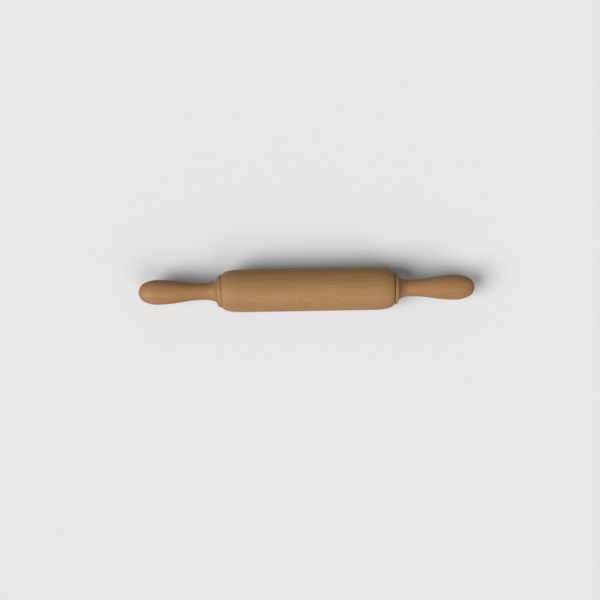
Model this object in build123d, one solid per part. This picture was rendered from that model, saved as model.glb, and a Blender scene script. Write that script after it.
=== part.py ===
from build123d import *
from math import atan2, cos, radians, sin, sqrt, tan
import os

# A rolling pin turned from beech, with two handles and a barrel that runs on ball bearings.
# Sizes are millimetres. The pin is turned about X, +Z is up, and the origin is its middle.

# Barrel
barrel_length = 217.8
barrel_diameter = 54.6
shoulder_length = 23.0
shoulder_height = 6.1
axle_hole_clearance = 2.0

# Handles, alike but for their collars and coves, which were turned by eye
grip_diameter = 31.9
neck_diameter = 21.3
grip_taper_length = 60.2
nose_length = 23.6
nose_tip_share = 0.86

# Collars: how far each stands below the barrel's end, and its rounded edge beside the seam
left_collar_width = 6.2
left_collar_drop = 0.1
left_edge_share = 0.07
left_edge_height = 0.2
left_root_share = 0.61
left_cove_length = 16.9
right_collar_width = 4.6
right_collar_drop = 0.5
right_edge_share = 0.45
right_edge_height = 0.7
right_root_share = 0.88
right_cove_length = 14.7

# Play of the barrel along the axle, and the part of it on the left as the pin lies
float_travel = 0.5
float_to_left_stop = 0.05
seam_clearance = 0.1
running_clearance = 0.03

# Steel axle, stepped down at both ends to a thread drawn as a plain cylinder
axle_diameter = 8.0
axle_step = 1.0
axle_chamfer = 0.5
thread_length = 15.0

# Brass inserts pressed into the handles
insert_wall = 2.0
insert_spare_length = 1.0
insert_flange_width = 1.5
insert_flange_thickness = 1.0
insert_barb_count = 5
insert_barb_height = 0.4
insert_hole_spare_depth = 3.0
drill_point_angle = 118.0

# Nylon cups pressed into the barrel, and nylon washers on the axle
cup_wall = 2.5
cup_floor_thickness = 3.0
cup_flange_thickness = 1.2
cup_flange_share = 0.4
washer_thickness = 1.6

# Deep-groove ball bearings, 8 by 22 by 7
bearing_outer_diameter = 22.0
bearing_width = 7.0
ring_chamfer = 0.3
ball_count = 7
ball_share = 0.567
land_share = 0.73
race_clearance = 0.05
shield_thickness = 0.3
shield_inset = 0.2
shield_clearance = 0.15
shield_seat_share = 0.32
cage_gap = 0.5
cage_pocket_clearance = 0.1
cage_lip_share = 0.45
cage_back_share = 0.5

# Radii and places that follow
barrel_radius = barrel_diameter / 2
barrel_end_radius = barrel_radius - shoulder_height
neck_radius = neck_diameter / 2
grip_radius = grip_diameter / 2
axle_radius = axle_diameter / 2
thread_radius = axle_radius - axle_step
insert_radius = thread_radius + insert_wall
insert_length = thread_length + insert_spare_length

bearing_radius = bearing_outer_diameter / 2
bearing_bore_radius = axle_radius + running_clearance
ball_radius = ball_share * min(bearing_radius - axle_radius, bearing_width) / 2
pitch_radius = (axle_radius + bearing_radius) / 2
race_radius = ball_radius + race_clearance
inner_land_radius = pitch_radius - land_share * ball_radius
outer_land_radius = pitch_radius + land_share * ball_radius
shield_seat_radius = outer_land_radius + shield_seat_share * (bearing_radius - outer_land_radius)
shield_inner_face = bearing_width / 2 - shield_inset - shield_thickness
bearing_recess = washer_thickness - seam_clearance
cup_radius = bearing_radius + cup_wall

left_gap = seam_clearance + float_to_left_stop
right_gap = seam_clearance + float_travel - float_to_left_stop
grip_length = grip_taper_length + nose_length
left_handle_length = left_collar_width + left_cove_length + grip_length
right_handle_length = right_collar_width + right_cove_length + grip_length
pin_length = left_handle_length + left_gap + barrel_length + right_gap + right_handle_length
left_seam = left_handle_length - pin_length / 2
right_seam = pin_length / 2 - right_handle_length
barrel_left = left_seam + left_gap
barrel_right = right_seam - right_gap

# End pieces are drawn pointing along +X from their seat, and half turned for the left end
half_turn = Rot(0, 0, 180)
at_collar_face = {"left": Pos(left_seam) * half_turn, "right": Pos(right_seam)}
at_barrel_end = {"left": Pos(barrel_left) * half_turn, "right": Pos(barrel_right)}
at_bearing = {
    side: barrel_end * Pos(-bearing_recess - bearing_width / 2)
    for side, barrel_end in at_barrel_end.items()
}


def turned(*outline):
    """A solid turned about X from the edges of its half section, radius drawn along Y."""
    return revolve(make_face(outline), Axis.X)


def turned_polygon(*corners):
    """A solid turned about X from the corners of its half section."""
    return turned(Polyline(*corners, close=True))


def quarter_ellipse(centre, half_length, half_height, start_angle):
    """A quarter of an ellipse, anticlockwise from its start angle, in the half section."""
    return EllipticalCenterArc(centre, half_length, half_height, start_angle, arc_size=90)


def barrel():
    """The beech roller: a cylinder with elliptic shoulders, drilled for axle and cups."""
    face = barrel_length / 2
    shoulder = face - shoulder_length
    body = turned(
        quarter_ellipse((-shoulder, barrel_end_radius), shoulder_length, shoulder_height, 90),
        Line((-shoulder, barrel_radius), (shoulder, barrel_radius)),
        quarter_ellipse((shoulder, barrel_end_radius), shoulder_length, shoulder_height, 0),
        Polyline((face, barrel_end_radius), (face, 0), (-face, 0), (-face, barrel_end_radius)),
    )
    body = Pos((barrel_left + barrel_right) / 2) * body
    body -= turned_polygon(
        (barrel_left, 0),
        (barrel_right, 0),
        (barrel_right, axle_radius + axle_hole_clearance),
        (barrel_left, axle_radius + axle_hole_clearance),
    )
    for barrel_end in at_barrel_end.values():
        body -= barrel_end * cup_blank()

    # The line where the turned surface closes is laid below, beside the line that the pin lies on
    return Rot(X=-92) * body


def nose_join():
    """Where the nose's long side arc meets its tip's arc, as a place beyond the grip."""
    tip_radius = nose_tip_share * grip_radius
    tip = nose_length - tip_radius
    side_radius = (tip**2 + grip_radius**2 - tip_radius**2) / (2 * (grip_radius - tip_radius))
    angle = atan2(tip, side_radius - grip_radius)
    return tip + tip_radius * sin(angle), tip_radius * cos(angle)


def handle(collar_width, collar_drop, edge_share, edge_height, root_share, cove_length):
    """A beech handle: a collar with a rounded edge, a cove, a neck that swells to the grip and
    a domed nose, with a blind hole for its insert."""
    edge = edge_share * collar_width
    neck = collar_width + cove_length
    middle = neck + grip_taper_length / 2
    grip = neck + grip_taper_length
    join_length, join_radius = nose_join()
    join = (grip + join_length, join_radius)
    collar_radius = barrel_end_radius - collar_drop
    face_radius = collar_radius - edge_height
    root_radius = neck_radius + root_share * (collar_radius - neck_radius)
    middle_radius = (neck_radius + grip_radius) / 2
    nose_side = TangentArc((grip, grip_radius), join, tangent=(1, 0))
    body = turned(
        Line((0, 0), (0, face_radius)),
        quarter_ellipse((edge, face_radius), edge, edge_height, 90),
        quarter_ellipse((edge, root_radius), collar_width - edge, collar_radius - root_radius, 0),
        quarter_ellipse((neck, root_radius), cove_length, root_radius - neck_radius, 180),
        TangentArc((neck, neck_radius), (middle, middle_radius), tangent=(1, 0)),
        TangentArc((grip, grip_radius), (middle, middle_radius), tangent=(-1, 0)),
        nose_side,
        TangentArc(join, (grip + nose_length, 0), tangent=nose_side % 1),
        Line((grip + nose_length, 0), (0, 0)),
    )
    return body - insert_hole()


def insert_hole():
    """The blind hole for the insert, drilled to a point, with a recess for its flange."""
    flange_radius = insert_radius + insert_flange_width
    depth = insert_length + insert_hole_spare_depth
    point = insert_radius / tan(radians(drill_point_angle / 2))
    return turned_polygon(
        (0, 0),
        (0, flange_radius),
        (insert_flange_thickness, flange_radius),
        (insert_flange_thickness, insert_radius),
        (depth, insert_radius),
        (depth + point, 0),
    )


def threaded_insert():
    """The brass insert that takes the axle's thread: a flange and a row of sloping barbs."""
    flange_radius = insert_radius + insert_flange_width
    core_radius = insert_radius - insert_barb_height
    barb_length = (insert_length - insert_flange_thickness) / insert_barb_count
    barbs = []
    for index in range(insert_barb_count):
        start = insert_flange_thickness + index * barb_length
        barbs += [(start, insert_radius), (start + barb_length, core_radius)]
    return turned_polygon(
        (0, thread_radius),
        (0, flange_radius),
        (insert_flange_thickness, flange_radius),
        *barbs,
        (insert_length, thread_radius),
    )


def axle():
    """The steel rod: shoulders bear on the inserts, and the stepped ends screw into them."""
    left_tip = left_seam - thread_length
    right_tip = right_seam + thread_length
    return turned_polygon(
        (left_tip, 0),
        (left_tip, thread_radius - axle_chamfer),
        (left_tip + axle_chamfer, thread_radius),
        (left_seam, thread_radius),
        (left_seam, axle_radius),
        (right_seam, axle_radius),
        (right_seam, thread_radius),
        (right_tip - axle_chamfer, thread_radius),
        (right_tip, thread_radius - axle_chamfer),
        (right_tip, 0),
    )


def thrust_washer():
    """The nylon washer on the axle, between the collar's insert and the inner ring."""
    return turned_polygon(
        (-washer_thickness, bearing_bore_radius),
        (0, bearing_bore_radius),
        (0, inner_land_radius),
        (-washer_thickness, inner_land_radius),
    )


def cup_blank():
    """The outside of a bearing cup, which is also the recess cut for it in the barrel."""
    flange_radius = cup_radius + cup_flange_share * (barrel_end_radius - cup_radius)
    depth = bearing_recess + bearing_width + cup_floor_thickness
    return turned_polygon(
        (0, 0),
        (0, flange_radius),
        (-cup_flange_thickness, flange_radius),
        (-cup_flange_thickness, cup_radius),
        (-depth, cup_radius),
        (-depth, 0),
    )


def bearing_cup():
    """The nylon cup: the outer ring fits its bore and seats on its floor."""
    seat = bearing_recess + bearing_width
    return cup_blank() - turned_polygon(
        (0, 0),
        (0, bearing_radius),
        (-seat, bearing_radius),
        (-seat, shield_seat_radius),
        (-seat - cup_floor_thickness, shield_seat_radius),
        (-seat - cup_floor_thickness, 0),
    )


def raceway(land_radius, bottom_radius):
    """The round groove that the balls run in, from land to land across its bottom."""
    reach = sqrt(race_radius**2 - (land_radius - pitch_radius) ** 2)
    return ThreePointArc((-reach, land_radius), (0, bottom_radius), (reach, land_radius))


def outer_ring():
    """The steel outer ring, stepped at both faces for its shields."""
    face = bearing_width / 2
    step = shield_inner_face
    groove = raceway(outer_land_radius, pitch_radius + race_radius)
    return turned(
        groove,
        Polyline(
            groove @ 1,
            (step, outer_land_radius),
            (step, shield_seat_radius),
            (face, shield_seat_radius),
            (face, bearing_radius - ring_chamfer),
            (face - ring_chamfer, bearing_radius),
            (ring_chamfer - face, bearing_radius),
            (-face, bearing_radius - ring_chamfer),
            (-face, shield_seat_radius),
            (-step, shield_seat_radius),
            (-step, outer_land_radius),
            groove @ 0,
        ),
    )


def inner_ring():
    """The steel inner ring, which slides on the axle."""
    face = bearing_width / 2
    groove = raceway(inner_land_radius, pitch_radius - race_radius)
    return turned(
        groove,
        Polyline(
            groove @ 1,
            (face, inner_land_radius),
            (face, bearing_bore_radius + ring_chamfer),
            (face - ring_chamfer, bearing_bore_radius),
            (ring_chamfer - face, bearing_bore_radius),
            (-face, bearing_bore_radius + ring_chamfer),
            (-face, inner_land_radius),
            groove @ 0,
        ),
    )


def round_the_pitch_circle(piece):
    """Copies of a piece, one at each ball's place."""
    return [
        Rot(index * 360 / ball_count, 0, 0) * Pos(0, 0, pitch_radius) * piece
        for index in range(ball_count)
    ]


def balls():
    """The steel balls, as separate solids."""
    return Part() + round_the_pitch_circle(Sphere(ball_radius))


def ball_cage():
    """The nylon crown cage: a ring behind the balls whose prongs snap round them."""
    pocket_radius = ball_radius + cage_pocket_clearance
    front = cage_lip_share * ball_radius
    back = pocket_radius + cage_back_share * (shield_inner_face - pocket_radius)
    crown = turned_polygon(
        (-back, inner_land_radius + cage_gap),
        (front, inner_land_radius + cage_gap),
        (front, outer_land_radius - cage_gap),
        (-back, outer_land_radius - cage_gap),
    )
    return crown - round_the_pitch_circle(Sphere(pocket_radius))


def shields():
    """The two thin steel discs that close the bearing, seated in the outer ring."""
    shield = turned_polygon(
        (shield_inner_face, inner_land_radius + shield_clearance),
        (shield_inner_face, shield_seat_radius),
        (shield_inner_face + shield_thickness, shield_seat_radius),
        (shield_inner_face + shield_thickness, inner_land_radius + shield_clearance),
    )
    return shield + half_turn * shield


left_handle = handle(
    left_collar_width,
    left_collar_drop,
    left_edge_share,
    left_edge_height,
    left_root_share,
    left_cove_length,
)
right_handle = handle(
    right_collar_width,
    right_collar_drop,
    right_edge_share,
    right_edge_height,
    right_root_share,
    right_cove_length,
)
parts = {
    "barrel": barrel(),
    "axle": axle(),
    "left_handle": at_collar_face["left"] * left_handle,
    "right_handle": at_collar_face["right"] * right_handle,
}
for side in ("left", "right"):
    parts[f"{side}_threaded_insert"] = at_collar_face[side] * threaded_insert()
    parts[f"{side}_thrust_washer"] = at_collar_face[side] * thrust_washer()
    parts[f"{side}_bearing_cup"] = at_barrel_end[side] * bearing_cup()
    parts[f"{side}_bearing_outer_ring"] = at_bearing[side] * outer_ring()
    parts[f"{side}_bearing_inner_ring"] = at_bearing[side] * inner_ring()
    parts[f"{side}_bearing_balls"] = at_bearing[side] * balls()
    parts[f"{side}_ball_cage"] = at_bearing[side] * ball_cage()
    parts[f"{side}_bearing_shields"] = at_bearing[side] * shields()

os.makedirs("parts", exist_ok=True)
for name, part in parts.items():
    export_step(part, f"parts/{name}.step")
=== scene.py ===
import bpy
import math
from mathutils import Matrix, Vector


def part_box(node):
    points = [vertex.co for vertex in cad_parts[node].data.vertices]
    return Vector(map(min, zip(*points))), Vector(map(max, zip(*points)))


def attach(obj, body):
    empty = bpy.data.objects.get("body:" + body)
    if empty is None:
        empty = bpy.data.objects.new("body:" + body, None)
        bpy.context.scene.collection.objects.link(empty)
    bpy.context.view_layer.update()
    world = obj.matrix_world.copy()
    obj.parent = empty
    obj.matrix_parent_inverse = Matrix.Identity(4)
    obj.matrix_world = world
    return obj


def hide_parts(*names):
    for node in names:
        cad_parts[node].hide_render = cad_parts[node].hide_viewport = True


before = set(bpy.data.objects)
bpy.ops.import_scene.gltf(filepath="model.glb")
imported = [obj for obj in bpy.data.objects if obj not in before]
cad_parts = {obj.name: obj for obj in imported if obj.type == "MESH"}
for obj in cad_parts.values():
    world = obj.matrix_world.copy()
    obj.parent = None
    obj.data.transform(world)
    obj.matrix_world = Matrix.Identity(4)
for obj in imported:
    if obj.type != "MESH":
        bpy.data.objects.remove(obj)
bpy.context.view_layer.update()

# The barrel
# The roller is one length of beech, turned between centres, sanded along its length and left
# bare. It is bored for the axle, and each end has a stepped seat that a bearing cup is
# pressed into.

mm = 0.001
quarter_turn = math.pi / 2
full_turn = 2 * math.pi

barrel_low, barrel_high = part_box("barrel")
cup_low, cup_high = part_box("left_bearing_cup")
axle_clearance = 2 * mm
cup_wall = 2.5 * mm
barrel_sizes = {
    "Length": barrel_high.x - barrel_low.x,
    "Radius": barrel_high.z,
    "Shoulder Length": 23 * mm,
    "Shoulder Height": 6.1 * mm,
    "Bore Radius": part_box("axle")[1].z + axle_clearance,
    "Cup Radius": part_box("left_bearing_outer_ring")[1].z + cup_wall,
    "Cup Depth": cup_high.x - cup_low.x,
    "Flange Radius": cup_high.z,
    "Flange Depth": 1.2 * mm,
}
barrel_sides = 192
shoulder_rings = 28
plain_rings = 12


class Wire:
    """An output socket. A sum written with it adds the Math nodes that the sum needs."""

    def __init__(self, graph, socket):
        self.graph = graph
        self.socket = socket

    def out(self, name):
        """Another output of the same node."""
        return Wire(self.graph, self.socket.node.outputs[name])

    def __add__(self, other):
        return self.graph.math("ADD", self, other)

    def __radd__(self, other):
        return self.graph.math("ADD", other, self)

    def __sub__(self, other):
        return self.graph.math("SUBTRACT", self, other)

    def __rsub__(self, other):
        return self.graph.math("SUBTRACT", other, self)

    def __mul__(self, other):
        return self.graph.math("MULTIPLY", self, other)

    def __rmul__(self, other):
        return self.graph.math("MULTIPLY", other, self)

    def __truediv__(self, other):
        return self.graph.math("DIVIDE", self, other)

    def __rtruediv__(self, other):
        return self.graph.math("DIVIDE", other, self)

    def __gt__(self, other):
        return self.graph.math("GREATER_THAN", self, other)

    def __neg__(self):
        return self.graph.math("MULTIPLY", self, -1)


class Graph:
    """A node tree that is being built. Every node in it comes from add()."""

    def __init__(self, tree):
        self.tree = tree

    def add(self, kind, settings=(), inputs=(), output=0):
        """A node of this kind: its settings first, then the values or links of its inputs."""
        node = self.tree.nodes.new(kind)
        for name, value in dict(settings).items():
            setattr(node, name, value)
        for name, value in dict(inputs).items():
            if isinstance(value, Wire):
                self.tree.links.new(value.socket, node.inputs[name])
            else:
                node.inputs[name].default_value = value
        return Wire(self, node.outputs[output]) if node.outputs else node

    def math(self, operation, *values):
        return self.add("ShaderNodeMath", {"operation": operation}, enumerate(values))


def split(graph, vector):
    """The X, Y and Z of a vector."""
    x = graph.add("ShaderNodeSeparateXYZ", inputs={0: vector})
    return x, x.out("Y"), x.out("Z")


def sine(angle):
    return angle.graph.math("SINE", angle) if isinstance(angle, Wire) else math.sin(angle)


def cosine(angle):
    return angle.graph.math("COSINE", angle) if isinstance(angle, Wire) else math.cos(angle)


straight = None
round_off = (0, quarter_turn)
round_in = (-quarter_turn, 0)


def cut_done(share, bend):
    """The shares of its length and of its depth that a cut has covered at a share of its rings.
    A straight cut has no bend, and a round one has the angles that it starts and ends at."""
    if not bend:
        return share, share
    first, last = bend
    angle = first + share * (last - first)
    along = (sine(angle) - sine(first)) / (sine(last) - sine(first))
    out = (cosine(first) - cosine(angle)) / (cosine(first) - cosine(last))
    return along, out


def lathe(name, size_names, cuts_for, thread_for=None):
    """A node tree that turns an outline about X. Its inputs are the piece's sizes, from which
    cuts_for gives the first point of the outline and its cuts: the bend of each, how far it
    goes along and out, and its number of rings. On a threaded piece, thread_for gives the
    radius that the thread leaves at a place."""
    tree = bpy.data.node_groups.new(name, "GeometryNodeTree")
    tree.interface.new_socket("Turned", in_out="OUTPUT", socket_type="NodeSocketGeometry")
    for size_name in size_names:
        tree.interface.new_socket(size_name, in_out="INPUT", socket_type="NodeSocketFloat")
    tree.interface.new_socket("Sides", in_out="INPUT", socket_type="NodeSocketInt")
    tree.interface.new_socket("Finish", in_out="INPUT", socket_type="NodeSocketMaterial")
    graph = Graph(tree)
    given = graph.add("NodeGroupInput")
    sides = given.out("Sides")
    sizes = {size_name: given.out(size_name) for size_name in size_names}
    along, out, cuts = cuts_for(sizes)
    rings = sum(cut[-1] for cut in cuts)

    # A flat sheet with one column for each ring and one row for each side is bent to shape
    sheet = graph.add(
        "GeometryNodeMeshGrid",
        inputs={"Size X": rings, "Size Y": 1, "Vertices X": rings + 1, "Vertices Y": sides + 1},
    )
    from_middle, row, _ = split(graph, graph.add("GeometryNodeInputPosition"))
    ring = from_middle + rings / 2
    angle = row * -full_turn
    first_ring = 0
    for bend, cut_along, cut_out, cut_rings in cuts:
        share = graph.add(
            "ShaderNodeMapRange",
            inputs={"Value": ring, "From Min": first_ring, "From Max": first_ring + cut_rings},
        )
        share_along, share_out = cut_done(share, bend)
        along = along + share_along * cut_along
        out = out + share_out * cut_out
        first_ring += cut_rings
    if thread_for:
        out = graph.math("MINIMUM", out, thread_for(sizes, along, angle))
    way = given.out("Way")
    turned_place = graph.add(
        "ShaderNodeCombineXYZ",
        inputs={
            "X": given.out("Seat") + way * along,
            "Y": way * out * cosine(angle),
            "Z": out * sine(angle),
        },
    )
    bent = graph.add(
        "GeometryNodeSetPosition", inputs={"Geometry": sheet, "Position": turned_place}
    )
    weld_distance = 0.001 * mm
    welded = graph.add(
        "GeometryNodeMergeByDistance", inputs={"Geometry": bent, "Distance": weld_distance}
    )
    sharpest_smooth_edge = math.radians(25)
    edge_angle = graph.add("GeometryNodeInputMeshEdgeAngle")
    smooth = graph.add("GeometryNodeSetShadeSmooth", {"domain": "FACE"}, {"Geometry": welded})
    sharp = graph.add(
        "GeometryNodeSetShadeSmooth",
        {"domain": "EDGE"},
        {
            "Geometry": smooth,
            "Selection": edge_angle > sharpest_smooth_edge,
            "Shade Smooth": False,
        },
    )
    real = graph.add("GeometryNodeRealizeInstances", inputs={"Geometry": sharp})
    finished = graph.add(
        "GeometryNodeSetMaterial", inputs={"Geometry": real, "Material": given.out("Finish")}
    )
    graph.add("NodeGroupOutput", inputs={"Turned": finished})
    return tree


def turned_piece(name, tree, inputs):
    """The plain mesh object that a node tree makes from a piece's sizes."""
    piece = bpy.data.objects.new(name, bpy.data.meshes.new(name))
    bpy.context.scene.collection.objects.link(piece)
    modifier = piece.modifiers.new("Lathe", "NODES")
    modifier.node_group = tree
    for socket in tree.interface.items_tree:
        if socket.in_out == "INPUT":
            modifier[socket.identifier] = inputs[socket.name]
    evaluated = bpy.context.evaluated_depsgraph_get()
    piece.data = bpy.data.meshes.new_from_object(piece.evaluated_get(evaluated))
    piece.data.name = name
    piece.modifiers.clear()
    return piece


def barrel_cuts(size):
    """The barrel's outline, from the foot of the left cup's seat round to the same point."""
    plain_length = size["Length"] - 2 * size["Shoulder Length"]
    wall = size["Cup Radius"] - size["Bore Radius"]
    seat = size["Cup Depth"] - size["Flange Depth"]
    ledge = size["Flange Radius"] - size["Cup Radius"]
    face = size["Radius"] - size["Shoulder Height"] - size["Flange Radius"]
    bore = size["Length"] - 2 * size["Cup Depth"]
    cuts = [
        (straight, 0, wall, 1),
        (straight, -seat, 0, 1),
        (straight, 0, ledge, 1),
        (straight, -size["Flange Depth"], 0, 1),
        (straight, 0, face, 1),
        (round_in, size["Shoulder Length"], size["Shoulder Height"], shoulder_rings),
        (straight, plain_length, 0, plain_rings),
        (round_off, size["Shoulder Length"], -size["Shoulder Height"], shoulder_rings),
        (straight, 0, -face, 1),
        (straight, -size["Flange Depth"], 0, 1),
        (straight, 0, -ledge, 1),
        (straight, -seat, 0, 1),
        (straight, 0, -wall, 1),
        (straight, -bore, 0, 1),
    ]
    return size["Cup Depth"], size["Bore Radius"], cuts


def colour(red, green, blue):
    """A colour as a picture shows it, from 0 to 255, turned into the shader's own scale."""
    shares = (red / 255, green / 255, blue / 255)
    return [s / 12.92 if s <= 0.04045 else ((s + 0.055) / 1.055) ** 2.4 for s in shares] + [1]


def rise(value, low, high):
    """0 below low, 1 above high, and a smooth rise between them."""
    return value.graph.add(
        "ShaderNodeMapRange",
        {"interpolation_type": "SMOOTHSTEP"},
        {"Value": value, "From Min": low, "From Max": high},
    )


def stretched_noise(graph, x, y, z, detail, seed=0.0):
    """Noise from 0 to 1 at a place whose three axes were stretched beforehand."""
    place = graph.add("ShaderNodeCombineXYZ", inputs={"X": x, "Y": y, "Z": z})
    return graph.add(
        "ShaderNodeTexNoise",
        {"noise_dimensions": "4D"},
        {"Vector": place, "W": seed, "Scale": 1, "Detail": detail, "Roughness": 0.55},
    )


def blend_colours(graph, share, first, second, way="MIX"):
    """A blend of two colours. The Mix node has sockets of the same names for each kind of value,
    so those for colours are given by their places."""
    settings = {"data_type": "RGBA", "blend_type": way}
    return graph.add("ShaderNodeMix", settings, {0: share, 6: first, 7: second}, 2)


def new_material(name):
    """An empty material, and the graph that its nodes are added to."""
    material = bpy.data.materials.new(name)
    material.use_nodes = True
    material.node_tree.nodes.clear()
    return material, Graph(material.node_tree)


def finish_material(graph, inputs):
    """The surface shader with these inputs, linked to the material's output."""
    surface = graph.add("ShaderNodeBsdfPrincipled", inputs=inputs)
    graph.add("ShaderNodeOutputMaterial", inputs={"Surface": surface})


def beech(name, pith, lean, seed, pale, deep, warm):
    """Beech in the solid. The growth rings go round a pith that lies beside the blank, and the
    rays run out from it as thin plates, which show as dark flecks. Lengths are in mm."""
    material, graph = new_material(name)
    place = graph.add("ShaderNodeTexCoord", output="Object")
    in_tree = graph.add(
        "ShaderNodeMapping",
        inputs={"Vector": place, "Location": (0, *pith), "Rotation": lean, "Scale": [1 / mm] * 3},
    )
    along, y, z = split(graph, in_tree)

    def along_grain(lengthwise, across, detail, number):
        """Noise stretched along the grain, with so many features to a mm each way."""
        places = (along * lengthwise, y * across, z * across)
        return stretched_noise(graph, *places, detail, seed + number)

    # Growth rings, uneven in width, which sway as the tree grew
    ring_width = 3.1
    ring_sway = 9
    ring_ripple = 1.6
    ring_unevenness = 7
    sway = (along_grain(0.007, 0.02, detail=2, number=0) - 0.5) * ring_sway
    ripple = (along_grain(0.03, 0.12, detail=2, number=1) - 0.5) * ring_ripple
    from_pith = graph.math("SQRT", y * y + z * z) + sway + ripple
    unevenness = stretched_noise(graph, from_pith * 0.11, seed, seed, 1) * ring_unevenness
    ring = graph.math("FRACT", (from_pith + unevenness) / ring_width)
    late_wood = rise(ring, 0.3, 0.93) * (1 - rise(ring, 0.95, 1))

    # Rays, fine ones and broad ones, which the surface cuts as short dark spindles
    pith_distance = math.hypot(*pith)
    round_pith = graph.math("ARCTAN2", z, y) * pith_distance

    def rays(length, reach, thickness, number):
        """Noise in plates that run out from the pith, of about these sizes."""
        places = (along / length, from_pith / reach, round_pith / thickness)
        return stretched_noise(graph, *places, 1, seed + number)

    fine_rays = rays(length=2.1, reach=9, thickness=0.42, number=2)
    broad_rays = rays(length=4.2, reach=14, thickness=0.9, number=3)
    flecks = rise(fine_rays, 0.56, 0.7) * 0.75 + rise(broad_rays, 0.6, 0.72) * 0.6

    # Fibres and broad colour, both drawn out along the grain
    fibre = along_grain(0.06, 1.9, detail=3, number=4)
    cloud = along_grain(0.009, 0.05, detail=3, number=5)
    streak = along_grain(0.012, 0.22, detail=2, number=6)

    # End grain, where the turned surface faces along the blank, takes a darker tone
    facing, _, _ = split(graph, place.out("Normal"))
    end_grain = rise(graph.math("ABSOLUTE", facing), 0.35, 1)

    # Darker wood is also redder, so its green is taken down twice and its blue three times
    tone = blend_colours(graph, rise(cloud, 0.3, 0.7), pale, deep)
    tone = blend_colours(graph, rise(streak, 0.55, 0.72) * 0.55, tone, warm)
    shade = 1 - late_wood * 0.05 - flecks * 0.12 - (fibre - 0.5) * 0.14 - end_grain * 0.06
    shades = {"Red": shade, "Green": shade * shade, "Blue": shade * shade * shade}
    shading = graph.add("ShaderNodeCombineColor", inputs=shades)
    tone = blend_colours(graph, 1.0, tone, shading, "MULTIPLY")

    # Fine ridges left by the turning, under scratches from the sanding along the grain
    tool_lines = stretched_noise(graph, along * 1.3, 0.0, 0.0, 2, seed + 7)
    height = fibre * 0.05 - flecks * 0.03 - late_wood * 0.015 + tool_lines * 0.02
    bump = graph.add("ShaderNodeBump", inputs={"Strength": 0.6, "Distance": mm, "Height": height})
    roughness = 0.5 + (fibre - 0.5) * 0.2 + end_grain * 0.12 - flecks * 0.05
    finish_material(
        graph,
        {"Base Color": tone, "Roughness": roughness, "Normal": bump, "Specular IOR Level": 0.25},
    )
    return material


barrel_beech = beech(
    "barrel_beech",
    pith=(-62, -70),
    lean=(0, 0.03, 0.02),
    seed=3.0,
    pale=colour(172, 133, 88),
    deep=colour(164, 124, 80),
    warm=colour(170, 121, 74),
)
barrel = turned_piece(
    "turned_barrel",
    lathe("Barrel Lathe", ["Seat", "Way", *barrel_sizes], barrel_cuts),
    {
        "Seat": barrel_low.x,
        "Way": 1,
        "Sides": barrel_sides,
        "Finish": barrel_beech,
        **barrel_sizes,
    },
)
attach(barrel, "barrel")
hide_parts("barrel")

# The bearing cups
# Moulded nylon housings, pressed into the ends of the barrel. Each has a flange that stops it
# at the wood's face, and a floor that the bearing's outer ring seats on.


def moulded_nylon(name, tint, mottled_tint):
    """Nylon as it leaves the mould: a dull skin with a fine grain, faintly mottled."""
    material, graph = new_material(name)
    place = graph.add("ShaderNodeTexCoord", output="Object")
    x, y, z = split(graph, place)
    clouds_to_metre = 300
    grains_to_metre = 4000
    mottle = stretched_noise(graph, *(axis * clouds_to_metre for axis in (x, y, z)), 2)
    skin = stretched_noise(graph, *(axis * grains_to_metre for axis in (x, y, z)), 2)
    skin_depth = 0.02 * mm
    relief = {"Strength": 0.3, "Distance": skin_depth, "Height": skin}
    bump = graph.add("ShaderNodeBump", inputs=relief)
    tone = blend_colours(graph, mottle, tint, mottled_tint)
    finish_material(
        graph, {"Base Color": tone, "Roughness": 0.42 + mottle * 0.12, "Normal": bump}
    )
    return material


def dress(part, material):
    """Gives a part that both ends of the pin have this material in place of its own."""
    for end in ("left", "right"):
        for material_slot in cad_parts[f"{end}_{part}"].material_slots:
            material_slot.material = material


dress("bearing_cup", moulded_nylon("cup_nylon", colour(232, 230, 222), colour(206, 202, 192)))

# The ball bearings
# Two deep-groove bearings of hardened steel, each shielded on both sides by a thin pressed
# disc. Seven balls run in a ground groove, spaced by a nylon crown cage.


def turned_metal(name, tint, roughness, line_depth):
    """Metal that was cut or ground while it turned about the pin's axis, with fine round lines."""
    material, graph = new_material(name)
    place = graph.add("ShaderNodeTexCoord", output="Object")
    x, y, z = split(graph, place)
    from_axis = graph.math("SQRT", y * y + z * z)
    lines_to_metre = 9000
    clouds_to_metre = 160
    lines = stretched_noise(graph, x * lines_to_metre, from_axis * lines_to_metre, 0.0, 2)
    haze = stretched_noise(graph, *(axis * clouds_to_metre for axis in (x, y, z)), 3)
    hazed_tint = colour(120, 118, 116)
    tone = blend_colours(graph, haze * 0.25, tint, hazed_tint)
    relief = {"Strength": 0.4, "Distance": line_depth, "Height": lines}
    bump = graph.add("ShaderNodeBump", inputs=relief)
    finish_material(
        graph,
        {
            "Base Color": tone,
            "Metallic": 1.0,
            "Roughness": roughness + lines * 0.08 + haze * 0.1,
            "Normal": bump,
        },
    )
    return material


ring_steel = turned_metal(
    "ring_steel", colour(206, 206, 208), roughness=0.14, line_depth=0.003 * mm
)
dress("bearing_outer_ring", ring_steel)
dress("bearing_inner_ring", ring_steel)
ball_steel = turned_metal(
    "ball_steel", colour(214, 214, 217), roughness=0.05, line_depth=0.0005 * mm
)
dress("bearing_balls", ball_steel)
shield_steel = turned_metal(
    "shield_steel", colour(196, 197, 200), roughness=0.26, line_depth=0.004 * mm
)
dress("bearing_shields", shield_steel)
dress("ball_cage", moulded_nylon("cage_nylon", colour(48, 45, 42), colour(36, 33, 31)))

# The axle and its washers
# A cold-drawn steel rod, stepped down at both ends to a rolled thread. A nylon washer at each
# end keeps the inner ring off the handle, and lets the barrel float a little.

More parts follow.
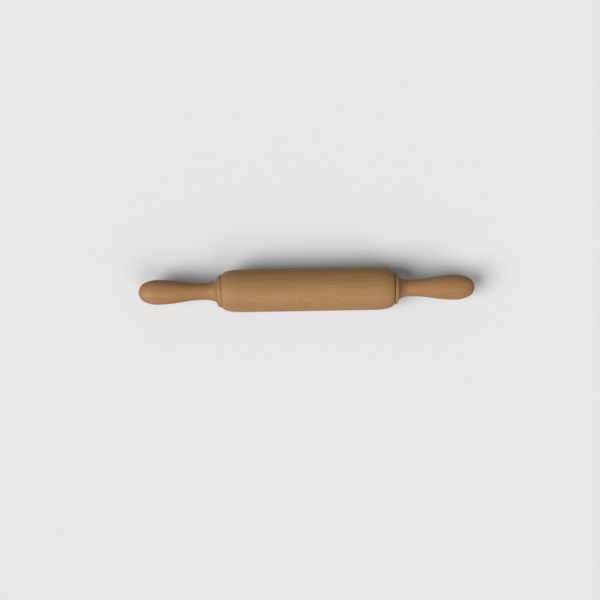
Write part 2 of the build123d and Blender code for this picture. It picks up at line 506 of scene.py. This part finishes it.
axle_low, axle_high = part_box("axle")
axle_sizes = {
    "Axle Length": axle_high.x - axle_low.x,
    "Shank Radius": axle_high.z,
    "Thread Radius": 3.0 * mm,
    "Thread Length": 15.0 * mm,
    "Thread Pitch": 1.0 * mm,
    "Thread Depth": 0.6 * mm,
    "Chamfer": 0.5 * mm,
}
axle_sides = 48
end_rings = 2
chamfer_rings = 6
thread_rings = 180
shank_rings = 12
step_slack = 0.01 * mm
axle_steel = turned_metal(
    "axle_steel", colour(188, 190, 193), roughness=0.24, line_depth=0.004 * mm
)


def axle_cuts(size):
    """The axle's outline, from the middle of its left end to the middle of its right one."""
    end_radius = size["Thread Radius"] - size["Chamfer"]
    full_thread = size["Thread Length"] - size["Chamfer"]
    step = size["Shank Radius"] - size["Thread Radius"]
    shank = size["Axle Length"] - 2 * size["Thread Length"]
    cuts = [
        (straight, 0, end_radius, end_rings),
        (straight, size["Chamfer"], size["Chamfer"], chamfer_rings),
        (straight, full_thread, 0, thread_rings),
        (straight, 0, step, 1),
        (straight, shank, 0, shank_rings),
        (straight, 0, -step, 1),
        (straight, full_thread, 0, thread_rings),
        (straight, size["Chamfer"], -size["Chamfer"], chamfer_rings),
        (straight, 0, -end_radius, end_rings),
    ]
    return 0, 0, cuts


def axle_thread(size, along, angle):
    """The radius that the thread leaves: a right-handed groove, which runs out at the step.
    The shank, past the step, is let out to its own radius and more."""
    graph = angle.graph
    pitch = size["Thread Pitch"]
    turn = graph.math("FRACT", along / pitch - angle / full_turn)
    from_crest = 2 * graph.math("ABSOLUTE", turn - 0.5)
    from_end = graph.math("MINIMUM", along, size["Axle Length"] - along)
    past_step = from_end - size["Thread Length"]
    run_out = rise(-past_step, pitch, 2 * pitch)
    crest_flat = 0.15
    groove = size["Thread Depth"] * rise(from_crest, crest_flat, 1 - crest_flat) * run_out
    on_shank = past_step > -step_slack
    return size["Thread Radius"] - groove + on_shank * size["Shank Radius"]


axle = turned_piece(
    "threaded_axle",
    lathe("Axle Lathe", ["Seat", "Way", *axle_sizes], axle_cuts, axle_thread),
    {"Seat": axle_low.x, "Way": 1, "Sides": axle_sides, "Finish": axle_steel, **axle_sizes},
)
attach(axle, "handles_and_axle")
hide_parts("axle")

washer_nylon = moulded_nylon("washer_nylon", colour(236, 234, 228), colour(210, 206, 197))
dress("thrust_washer", washer_nylon)

# The threaded inserts
# Brass, turned with sloping barbs and pressed into the handles, so that the handles screw on
# to the axle and come off again.

insert_brass = turned_metal(
    "insert_brass", colour(214, 180, 112), roughness=0.2, line_depth=0.005 * mm
)
dress("threaded_insert", insert_brass)

# The handles
# Each is one piece of beech, turned to a collar, a cove and a neck that swells to a domed
# grip. The two were turned by eye, so their collars and coves differ.

handle_sizes = {
    "Neck Radius": 10.65 * mm,
    "Taper Length": 60.2 * mm,
    "Grip Radius": 15.95 * mm,
    "Nose Length": 23.6 * mm,
    "Tip Radius": 13.72 * mm,
    "Hole Radius": 5.0 * mm,
    "Hole Depth": 19.0 * mm,
    "Point Length": 3.0 * mm,
    "Recess Radius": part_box("left_threaded_insert")[1].z,
    "Recess Depth": 1.0 * mm,
}
turned_by_eye = {
    "left": {
        "Collar Radius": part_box("left_handle")[1].z,
        "Collar Width": 6.2 * mm,
        "Edge Length": 0.43 * mm,
        "Edge Height": 0.2 * mm,
        "Root Radius": 17.02 * mm,
        "Cove Length": 16.9 * mm,
    },
    "right": {
        "Collar Radius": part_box("right_handle")[1].z,
        "Collar Width": 4.6 * mm,
        "Edge Length": 2.07 * mm,
        "Edge Height": 0.7 * mm,
        "Root Radius": 19.49 * mm,
        "Cove Length": 14.7 * mm,
    },
}
handle_sides = 160
hole_point_rings = 2
edge_rings = 8
bead_rings = 24
cove_rings = 24
half_taper_rings = 16
nose_side_rings = 14
nose_tip_rings = 30


def handle_cuts(size):
    """A handle's outline, from the point of the insert's hole round to the tip of the nose."""
    graph = size["Neck Radius"].graph
    half_taper = size["Taper Length"] / 2
    half_swell = (size["Grip Radius"] - size["Neck Radius"]) / 2
    swell_turn = 2 * graph.math("ARCTAN2", half_swell, half_taper)
    to_hole_mouth = size["Recess Depth"] - size["Hole Depth"]
    recess_wall = size["Recess Radius"] - size["Hole Radius"]
    face = size["Collar Radius"] - size["Edge Height"] - size["Recess Radius"]
    bead_length = size["Collar Width"] - size["Edge Length"]
    bead_drop = size["Root Radius"] - size["Collar Radius"]
    cove_drop = size["Neck Radius"] - size["Root Radius"]

    # The nose is a long arc that runs into a blunter one at its tip
    grip, tip = size["Grip Radius"], size["Tip Radius"]
    tip_centre = size["Nose Length"] - tip
    side_radius = (tip_centre * tip_centre + grip * grip - tip * tip) / (2 * (grip - tip))
    join_angle = graph.math("ARCTAN2", tip_centre, side_radius - grip)
    side_length = side_radius * sine(join_angle)
    side_drop = side_radius * (cosine(join_angle) - 1)
    tip_length = size["Nose Length"] - side_length
    tip_drop = -grip - side_drop
    cuts = [
        (straight, -size["Point Length"], size["Hole Radius"], hole_point_rings),
        (straight, to_hole_mouth, 0, 1),
        (straight, 0, recess_wall, 1),
        (straight, -size["Recess Depth"], 0, 1),
        (straight, 0, face, 1),
        (round_in, size["Edge Length"], size["Edge Height"], edge_rings),
        (round_off, bead_length, bead_drop, bead_rings),
        (round_in, size["Cove Length"], cove_drop, cove_rings),
        ((0, swell_turn), half_taper, half_swell, half_taper_rings),
        ((-swell_turn, 0), half_taper, half_swell, half_taper_rings),
        ((0, join_angle), side_length, side_drop, nose_side_rings),
        ((join_angle, quarter_turn), tip_length, tip_drop, nose_tip_rings),
    ]
    return size["Hole Depth"] + size["Point Length"], 0, cuts


handle_size_names = ["Seat", "Way", *handle_sizes, *turned_by_eye["left"]]
handle_lathe = lathe("Handle Lathe", handle_size_names, handle_cuts)
handle_beech = {
    "left": beech(
        "left_handle_beech",
        pith=(48, -55),
        lean=(0, -0.03, 0.05),
        seed=11.0,
        pale=colour(170, 130, 88),
        deep=colour(162, 119, 77),
        warm=colour(172, 115, 70),
    ),
    "right": beech(
        "right_handle_beech",
        pith=(-50, 66),
        lean=(0, 0.04, -0.03),
        seed=17.0,
        pale=colour(170, 129, 87),
        deep=colour(161, 118, 76),
        warm=colour(170, 114, 71),
    ),
}
for side, way in (("left", -1), ("right", 1)):
    collar_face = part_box(f"{side}_handle")[0 if way > 0 else 1].x
    handle = turned_piece(
        f"turned_{side}_handle",
        handle_lathe,
        {
            "Seat": collar_face,
            "Way": way,
            "Sides": handle_sides,
            "Finish": handle_beech[side],
            **handle_sizes,
            **turned_by_eye[side],
        },
    )
    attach(handle, "handles_and_axle")
    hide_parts(f"{side}_handle")

# The table
# A plain pale surface that the pin lies on, which is not part of it. It reaches so far that
# its edge looks like a horizon.

table_reach = 60.0
table_mesh = bpy.data.meshes.new("table")
corners = [(-table_reach, -table_reach), (table_reach, -table_reach)]
corners += [(table_reach, table_reach), (-table_reach, table_reach)]
table_mesh.from_pydata([(x, y, barrel_low.z) for x, y in corners], [], [(0, 1, 2, 3)])
table = bpy.data.objects.new("table", table_mesh)
bpy.context.scene.collection.objects.link(table)


def seen_directly(graph):
    """1 where the camera sees a thing, itself or in metal or glass, and 0 for its stray light."""
    path = graph.add("ShaderNodeLightPath")
    seen = graph.math("MAXIMUM", path, path.out("Is Glossy Ray"))
    return graph.math("MAXIMUM", seen, path.out("Is Transmission Ray"))


table_seen = 0.85
table_stray = 0.12
table_white, table_graph = new_material("table_white")
pale_table, dull_table = (
    table_graph.add("ShaderNodeBsdfDiffuse", inputs={"Color": (grey, grey, grey, 1)})
    for grey in (table_seen, table_stray)
)
table_surface = table_graph.add(
    "ShaderNodeMixShader", inputs={0: seen_directly(table_graph), 1: dull_table, 2: pale_table}
)
table_graph.add("ShaderNodeOutputMaterial", inputs={"Surface": table_surface})
table_mesh.materials.append(table_white)

# Light and camera
# A large soft lamp from the left, a weaker one from below right of the picture and an even
# pale room. The camera looks straight down, as the photograph was taken.

lamps = {
    "key_lamp": {"strength": 0.8, "towards": (-0.889, -0.386, 1), "spread": 38},
    "fill_lamp": {"strength": 0.29, "towards": (0.42, -0.963, 1), "spread": 46},
}
for lamp_name, lamp_values in lamps.items():
    lamp_data = bpy.data.lights.new(lamp_name, "SUN")
    lamp_data.energy = lamp_values["strength"] * math.pi
    lamp_data.angle = math.radians(lamp_values["spread"])
    lamp = bpy.data.objects.new(lamp_name, lamp_data)
    lamp.rotation_mode = "QUATERNION"
    lamp.rotation_quaternion = Vector(lamp_values["towards"]).to_track_quat("Z", "Y")
    bpy.context.scene.collection.objects.link(lamp)

room_light = 0.16
room_seen = 0.85
room = bpy.data.worlds.new("room")
room.use_nodes = True
room.node_tree.nodes.clear()
room_graph = Graph(room.node_tree)
room_strength = room_light + seen_directly(room_graph) * (room_seen - room_light)
room_surface = room_graph.add(
    "ShaderNodeBackground", inputs={"Color": (1, 1, 1, 1), "Strength": room_strength}
)
room_graph.add("ShaderNodeOutputWorld", inputs={"Surface": room_surface})
bpy.context.scene.world = room

camera_height = 0.92
camera_offset = (-8.6 * mm, -12.95 * mm)
camera_roll = math.radians(-1.0)
camera_data = bpy.data.cameras.new("camera")
camera_data.lens = 43.2
camera_data.sensor_width = 36
camera = bpy.data.objects.new("camera", camera_data)
camera.location = (*camera_offset, camera_height)
camera.rotation_euler = (0, 0, camera_roll)
bpy.context.scene.collection.objects.link(camera)
bpy.context.scene.camera = camera
bpy.context.scene.view_settings.view_transform = "Standard"
